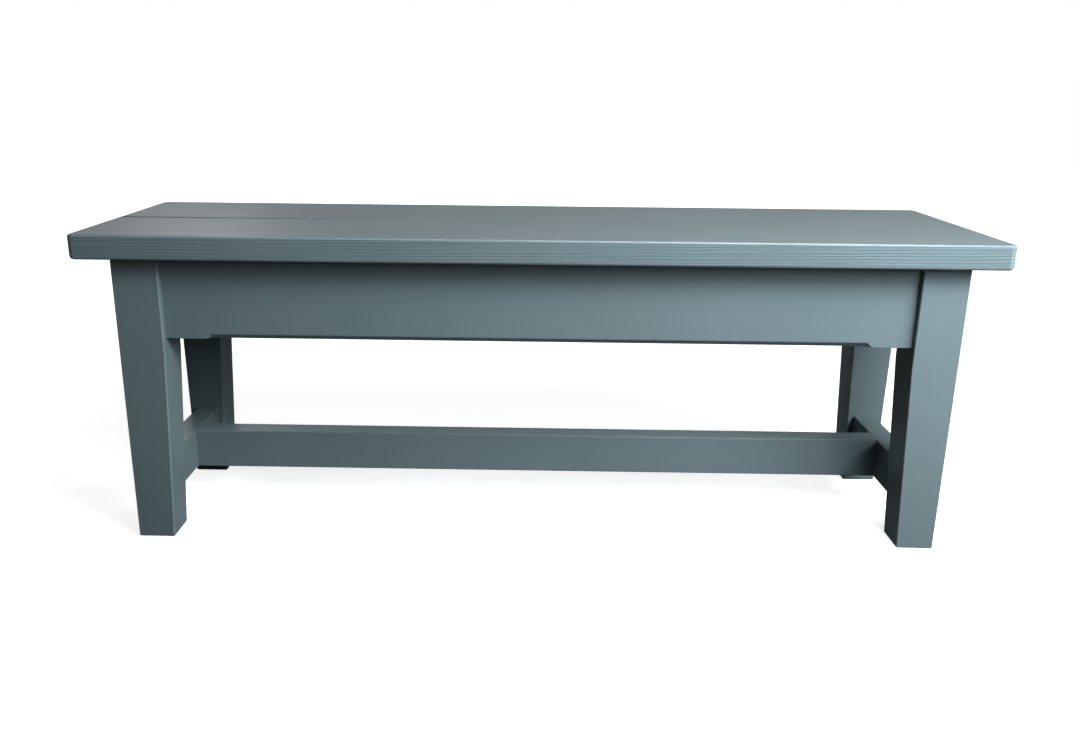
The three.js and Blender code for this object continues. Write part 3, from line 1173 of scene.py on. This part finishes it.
    def stretcher(self) -> Object:
        """Makes the long stretcher with a tenon at each end.

        Returns:
            The piece.
        """
        low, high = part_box("stretcher")
        inner = -self.rail_high.x
        low.x, high.x = self.glue - inner, inner - self.glue
        bm = block(low, high)
        ease(bm, edges_along(bm, X, inner), self.rail_arris, self.facets)
        for end in (-1, 1):
            self.rail_joint(bm, X, end, 0.0, inner + self.stretcher_tenon_length, TENON)
        return deliver_painted(bm, "stretcher", self.stretcher_stock, Grain.LENGTHWAYS)


@dataclass
class Fixing:
    """A turn-button and the screw that draws it to the seat.

    Attributes:
        number: Its place in the row's node names.
        width: The button's width along its apron.
        tongue_thickness: The height of the tongue that sits in the apron's slot.
        tongue_drop: How far the tongue's top lies under the seat.
        tongue_play: Room over the tongue, taken off it and off the top of its slot.
        side_play: Room for the tongue on each side, for the seat's swelling.
        thread_root: Where in a turn the thread's root ends, as a share of the pitch.
        thread_flank: How much of the pitch the root and each flank take.
        hole_roundness: How near the square hole's corners come to a round one.
        pith: How far the button's middle lies from its log's pith.
        pith_step: How much further it lies for each number.
        lean: Its turns against the pith.
    """

    number: int
    width: float = 32 * MM
    arris: float = 0.8 * MM
    arris_facets: int = 3
    tongue_length: float = 11 * MM
    tongue_thickness: float = 9 * MM
    tongue_drop: float = 10 * MM
    tongue_play: float = 0.1 * MM
    side_play: float = 4 * MM
    slot_slack: float = 1 * MM
    head_radius: float = 4 * MM
    head_height: float = 2.6 * MM
    shank_radius: float = 2 * MM
    tip: float = 4 * MM
    thread_pitch: float = 1.8 * MM
    thread_depth: float = 0.45 * MM
    thread_root: float = 0.6
    thread_flank: float = 0.25
    hole_room: float = 0.3 * MM
    hole_roundness: float = 0.98
    hole_facets: int = 6
    recess_arm: float = 2.2 * MM
    recess_width: float = 0.9 * MM
    recess_depth: float = 1.6 * MM
    recess_taper: float = 0.6
    sides: int = 24
    pith: tuple[float, float] = (40 * MM, 30 * MM)
    pith_step: float = 3 * MM
    lean: tuple[float, float] = (0.05, 0.03)

    def __post_init__(self) -> None:
        """Reads the fixing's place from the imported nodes."""
        self.low, self.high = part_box(f"seat_button_{self.number}")
        self.centre = (self.low + self.high) / 2
        size = self.high - self.low
        self.along = X if size.x > size.y else Y
        self.way = 1 if self.centre[self.along] > 0 else -1
        screw_low, screw_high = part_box(f"seat_screw_{self.number}")
        self.axis = (screw_low + screw_high) / 2
        self.screw_bottom, self.screw_top = screw_low.z, screw_high.z
        self.tongue_end = max(abs(self.low[self.along]), abs(self.high[self.along]))

    @classmethod
    def all(cls) -> list["Fixing"]:
        """Lists every fixing of the record."""
        count = sum(name.startswith("seat_button_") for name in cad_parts)
        return [cls(number) for number in range(1, count + 1)]

    def tongue_heights(self) -> tuple[float, float]:
        """The bottom and the top of the tongue."""
        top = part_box("seat_board_front")[0].z - self.tongue_drop
        return top - self.tongue_thickness, top

    def build(self) -> list[Object]:
        """Makes the button and its screw."""
        return [self.button(), self.screw()]

    def button(self) -> Object:
        """Makes the button, an L-shaped block with eased arrises and a countersunk hole.

        Returns:
            The piece.
        """
        low, high = self.low.copy(), self.high.copy()
        tongue_side = high if self.way > 0 else low
        tongue_side[self.along] = self.way * (self.tongue_end - self.tongue_length)
        bm = block(low, high)
        bottom, top = self.tongue_heights()
        joint(bm, self.along, self.way, bottom, {Z: (bottom, top - self.tongue_play)},
              self.way * self.tongue_end)
        bm.normal_update()
        arrises = [edge for edge in bm.edges if edge.is_convex and edge.calc_face_angle(0.0) > SHARP_ANGLE]
        ease(bm, arrises, self.arris, self.arris_facets)
        radius = self.head_radius + self.hole_room
        spans = {axis: (self.axis[axis] - radius, self.axis[axis] + radius) for axis in (X, Y)}
        floor = joint(bm, Z, -1, self.low.z, spans, self.low.z + self.head_height)
        corners = {edge for vert in floor.verts for edge in vert.link_edges if edge not in floor.edges[:]}
        ease(bm, list(corners), radius * self.hole_roundness, self.hole_facets)
        grain = Grain.LENGTHWAYS if self.along == X else Grain.CROSSWAYS
        pith = (self.pith[0], self.pith[1] + self.number * self.pith_step)
        node = f"seat_button_{self.number}"
        planed = PLANED_BEECH.material(node, Cut(self.centre, grain, pith, self.lean))
        return deliver(bm, node, Dress.PLANED, [planed])

    def screw(self) -> Object:
        """Makes the countersunk wood screw, its head down, with a thread and a cross recess.

        Returns:
            The piece.
        """
        bm = bmesh.new()
        head_top = self.screw_bottom + self.head_height
        profile = [
            (self.head_radius, self.screw_bottom),
            (self.head_radius, self.screw_bottom + self.hole_room),
            (self.shank_radius, head_top),
        ]
        flank = self.thread_flank * self.thread_pitch
        core = self.shank_radius - self.thread_depth
        for turn in range(int((self.screw_top - self.tip - head_top) / self.thread_pitch)):
            root = head_top + (turn + self.thread_root) * self.thread_pitch
            profile += [(core, root - flank), (core, root), (self.shank_radius, root + flank)]
        profile.append((0.0, self.screw_top))
        verts = [bm.verts.new((self.axis.x + radius, self.axis.y, height)) for radius, height in profile]
        for first, second in zip(verts, verts[1:]):
            bm.edges.new((first, second))
        bmesh.ops.spin(bm, geom=[*bm.verts, *bm.edges], cent=(self.axis.x, self.axis.y, 0.0),
                       axis=unit(Z), angle=math.tau, steps=self.sides, use_merge=True)
        bmesh.ops.remove_doubles(bm, verts=bm.verts, dist=TOUCHING)
        rim = edges_at(bm, {Z: self.screw_bottom})
        head = bmesh.ops.contextual_create(bm, geom=rim)["faces"][0]
        bmesh.ops.recalc_face_normals(bm, faces=bm.faces)
        self.cut_recess(bm, head)
        return deliver(bm, f"seat_screw_{self.number}", Dress.PLATED, [SCREW_PLATE])

    def cut_recess(self, bm: BMesh, head: BMFace) -> None:
        """Sinks the driver's cross into the screw's head.

        Args:
            bm: The screw.
            head: The flat face of its head.
        """
        arm, half = self.recess_arm, self.recess_width / 2
        parts = [head]
        for axis in (X, Y):
            parts = score(bm, parts, axis, [self.axis[axis] + reach for reach in (-arm, -half, half, arm)])
        cross = []
        for part in parts:
            offset = part.calc_center_median() - self.axis
            reaches = sorted((abs(offset.x), abs(offset.y)))
            if reaches[0] < half and reaches[1] < arm:
                cross.append(part)
        sunk = bmesh.ops.extrude_face_region(bm, geom=cross)["geom"]
        bmesh.ops.delete(bm, geom=cross, context="FACES_ONLY")
        bottom = [item for item in sunk if isinstance(item, BMVert)]
        bmesh.ops.translate(bm, vec=unit(Z, self.recess_depth), verts=bottom)
        bmesh.ops.scale(bm, vec=(self.recess_taper, self.recess_taper, 1.0), verts=bottom,
                        space=Matrix.Translation(-self.axis))


SCREW_PLATE = ZincPlate().material()


class Job(Enum):
    """What a lamp's light is for."""

    FILL = "lights matt surfaces"
    GLEAM = "shows in glossy surfaces"


@dataclass(frozen=True)
class SoftBox:
    """A rectangular lamp behind a diffuser.

    Attributes:
        name: What it does.
        place: Its middle.
        aim: The point that it faces.
        size: Its width and height.
        power: Its power in watts.
        job: What its light is for.
    """

    name: str
    place: tuple[float, float, float]
    aim: tuple[float, float, float]
    size: tuple[float, float]
    power: float
    job: Job = Job.FILL

    def build(self) -> None:
        """Hangs the lamp."""
        lamp = bpy.data.lights.new(self.name, "AREA")
        lamp.shape = "RECTANGLE"
        lamp.size, lamp.size_y = self.size
        lamp.energy = self.power
        holder = show(self.name, lamp)
        holder.location = self.place
        holder.rotation_euler = (Vector(self.aim) - Vector(self.place)).to_track_quat("-Z", "Y").to_euler()
        holder.visible_camera = False
        holder.visible_glossy = self.job is Job.GLEAM
        holder.visible_diffuse = self.job is Job.FILL


@dataclass(frozen=True)
class Viewpoint:
    """The photograph's camera, found by fitting it to the bench's edges.

    Attributes:
        place: Where it stands.
        yaw: Its turn to the right of +Y, in degrees.
        pitch: Its tilt above the horizon, in degrees.
        roll: Its turn about its own axis, in degrees.
        picture: The picture's width and height in pixels.
        focal: The focal length in those pixels.
        axis: The pixel that the lens points at.
        sensor: The sensor's width in millimetres.
    """

    place: tuple[float, float, float] = (-0.0116, -1.3775, 0.6346)
    yaw: float = -0.82
    pitch: float = -16.22
    roll: float = 0.54
    picture: tuple[float, float] = (1080.0, 750.0)
    focal: float = 947.4
    axis: tuple[float, float] = (515.16, 356.81)
    sensor: float = 36.0

    def build(self) -> None:
        """Sets up the camera as the scene's own."""
        width, height = self.picture
        lens = bpy.data.cameras.new("viewpoint")
        lens.sensor_width = self.sensor
        lens.lens = self.focal / width * self.sensor
        lens.shift_x = (width / 2 - self.axis[0]) / width
        lens.shift_y = (self.axis[1] - height / 2) / width
        camera = show("viewpoint", lens)
        turn = (Matrix.Rotation(-math.radians(self.yaw), 4, "Z")
                @ Matrix.Rotation(math.radians(90.0 + self.pitch), 4, "X")
                @ Matrix.Rotation(math.radians(self.roll), 4, "Z"))
        camera.matrix_world = Matrix.Translation(self.place) @ turn
        bpy.context.scene.camera = camera


@dataclass(frozen=True)
class Studio:
    """A white floor and a white surround, with the soft light of tall windows at the front right.

    The windows are four patches that light matt surfaces, and one high patch that gleams in the arrises. The
    lamps far behind, at the left and below keep the far sides readable and hardly reach what the photo shows.

    Attributes:
        ambient: The surround's strength as a light.
        floor_glow: How bright the floor shows in full shadow, against 1 for white.
        floor_shown: How much of the light on the floor is added to that.
        floor_bounce: The floor's colour as a reflector of light.
        floor_fade: Where around the bench the floor starts to turn plain white, and where it is.
        floor_gloss: How much of the white floor glossy surfaces mirror.
        surround_gloss: How much of the white surround they mirror.
        backdrop_gloss: How much more of it they mirror in a low band behind the bench.
        backdrop_rise: The heights, in degrees, over which the band starts.
        backdrop_fall: The heights over which it ends.
        backdrop_width: The turns towards the rear over which it sets in.
    """

    ambient: float = 0.005
    floor_size: float = 60.0
    floor_glow: float = 0.74
    floor_shown: str = "#eeeeee"
    floor_bounce: str = "#484848"
    floor_fade: tuple[float, float] = (0.7, 1.8)
    floor_gloss: float = 0.02
    surround_gloss: float = 0.1
    backdrop_gloss: float = 0.56
    backdrop_rise: tuple[float, float] = (6.0, 9.0)
    backdrop_fall: tuple[float, float] = (14.0, 17.0)
    backdrop_width: tuple[float, float] = (10.0, 40.0)
    lamps: tuple[SoftBox, ...] = (
        SoftBox("window_top", (0.58, -0.82, 1.36), (0.0, 0.0, 0.25), (0.4, 0.4), 15.8),
        SoftBox("window_middle", (0.92, -0.83, 1.09), (0.0, 0.0, 0.25), (0.4, 0.4), 13.0),
        SoftBox("window_right", (1.22, -0.67, 0.81), (0.0, 0.0, 0.25), (0.4, 0.4), 11.5),
        SoftBox("window_left", (0.71, -1.02, 1.09), (0.0, 0.0, 0.25), (0.4, 0.4), 10.0),
        SoftBox("window_gleam", (0.53, -0.59, 1.52), (0.0, 0.0, 0.25), (0.9, 0.7), 29.0, Job.GLEAM),
        SoftBox("low_card", (0.88, -1.21, 0.74), (0.0, 0.0, 0.1), (0.8, 0.3), 8.0),
        SoftBox("back_left", (-1.3, 2.25, 1.6), (0.0, 0.0, 0.3), (0.5, 0.5), 3.1, Job.GLEAM),
        SoftBox("back_fill", (0.1, 6.0, 1.2), (0.0, 0.0, 0.3), (1.5, 1.5), 150.0),
        SoftBox("left_fill", (-4.4, 0.6, 2.4), (0.0, 0.0, 0.3), (1.5, 1.5), 50.0),
        SoftBox("under_card", (0.1, 3.2, -5.0), (0.0, 0.0, 0.3), (1.5, 1.5), 220.0),
    )

    def build(self) -> None:
        """Lights the stage and lays the floor."""
        bpy.context.scene.view_settings.view_transform = "Standard"
        for lamp in self.lamps:
            lamp.build()
        self.surround()
        self.floor()

    def seen(self, tree: NodeTree, gloss: float | Node) -> Node:
        """Adds a node that tells the rays that show the background as it is.

        Args:
            tree: The node tree.
            gloss: How much of it glossy rays see.

        Returns:
            A node that gives 1 to camera and transmission rays, gloss to glossy rays, and 0 to the rays that
            gather light.
        """
        path = add_node(tree, "LightPath").outputs
        mirrored = add_node(tree, "Math", {0: path["Is Glossy Ray"], 1: gloss}, operation="MULTIPLY")
        either = add_node(tree, "Math", {0: path["Is Camera Ray"], 1: mirrored}, operation="MAXIMUM")
        return add_node(tree, "Math", {0: either, 1: path["Is Transmission Ray"]}, operation="MAXIMUM")

    def surround(self) -> None:
        """Makes the world: white where it shows, and a dim even light elsewhere."""
        world = bpy.data.worlds.new("surround")
        world.use_nodes = True
        tree = world.node_tree
        tree.nodes.clear()
        direction = add_node(tree, "TexCoord").outputs["Generated"]
        parts = add_node(tree, "SeparateXYZ", {"Vector": direction}).outputs
        band = self.backdrop_gloss
        for source, (low, high), (first, last) in (
            (parts["Z"], self.backdrop_rise, (0.0, 1.0)),
            (parts["Z"], self.backdrop_fall, (1.0, 0.0)),
            (parts["Y"], self.backdrop_width, (0.0, 1.0)),
        ):
            step = add_node(tree, "MapRange", {
                "Value": source,
                "From Min": math.sin(math.radians(low)),
                "From Max": math.sin(math.radians(high)),
                "To Min": first,
                "To Max": last,
            }, interpolation_type="SMOOTHSTEP")
            band = add_node(tree, "Math", {0: step, 1: band}, operation="MULTIPLY")
        gloss = add_node(tree, "Math", {0: band, 1: self.surround_gloss}, operation="ADD")
        mix = add_node(tree, "MixShader", {
            0: self.seen(tree, gloss),
            1: add_node(tree, "Background", {"Color": linear(WHITE), "Strength": self.ambient}),
            2: add_node(tree, "Background", {"Color": linear(WHITE), "Strength": 1.0}),
        })
        add_node(tree, "OutputWorld", {"Surface": mix})
        bpy.context.scene.world = world

    def floor(self) -> None:
        """Lays the floor, which keeps the bench's shadow. It is clear from below and to the card under it."""
        bm = bmesh.new()
        bmesh.ops.create_grid(bm, x_segments=1, y_segments=1, size=self.floor_size / 2)
        mesh = bpy.data.meshes.new("floor")
        bm.to_mesh(mesh)
        bm.free()
        material, tree = new_material("matt_white_studio_floor")
        place = add_node(tree, "TexCoord").outputs["Object"]
        distance = add_node(tree, "VectorMath", {0: place}, operation="LENGTH").outputs["Value"]
        brightness = add_node(tree, "MapRange", {
            "Value": distance,
            "From Min": self.floor_fade[0],
            "From Max": self.floor_fade[1],
            "To Min": self.floor_glow,
        }, interpolation_type="SMOOTHSTEP")
        above = add_node(tree, "MixShader", {
            0: self.seen(tree, self.floor_gloss),
            1: add_node(tree, "BsdfDiffuse", {"Color": linear(self.floor_bounce)}),
            2: add_node(tree, "AddShader", {
                0: add_node(tree, "Emission", {"Color": linear(WHITE), "Strength": brightness}),
                1: add_node(tree, "BsdfDiffuse", {"Color": linear(self.floor_shown)}),
            }),
        })
        passes = add_node(tree, "Math", {
            0: add_node(tree, "NewGeometry").outputs["Backfacing"],
            1: add_node(tree, "LightPath").outputs["Is Shadow Ray"],
        }, operation="MAXIMUM")
        both = add_node(tree, "MixShader", {0: passes, 1: above, 2: add_node(tree, "BsdfTransparent")})
        add_node(tree, "OutputMaterial", {"Surface": both})
        mesh.materials.append(material)
        show("floor", mesh)


def main() -> None:
    """Builds the bench and the studio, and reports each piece."""
    logging.basicConfig(level=logging.INFO, format="%(message)s")
    Viewpoint().build()
    for assembly in (Seat(), Frame(), *Fixing.all()):
        for piece in assembly.build():
            log.info("%s: %d faces", piece.name, len(piece.data.polygons))
    Studio().build()


if __name__ == "__main__":
    main()
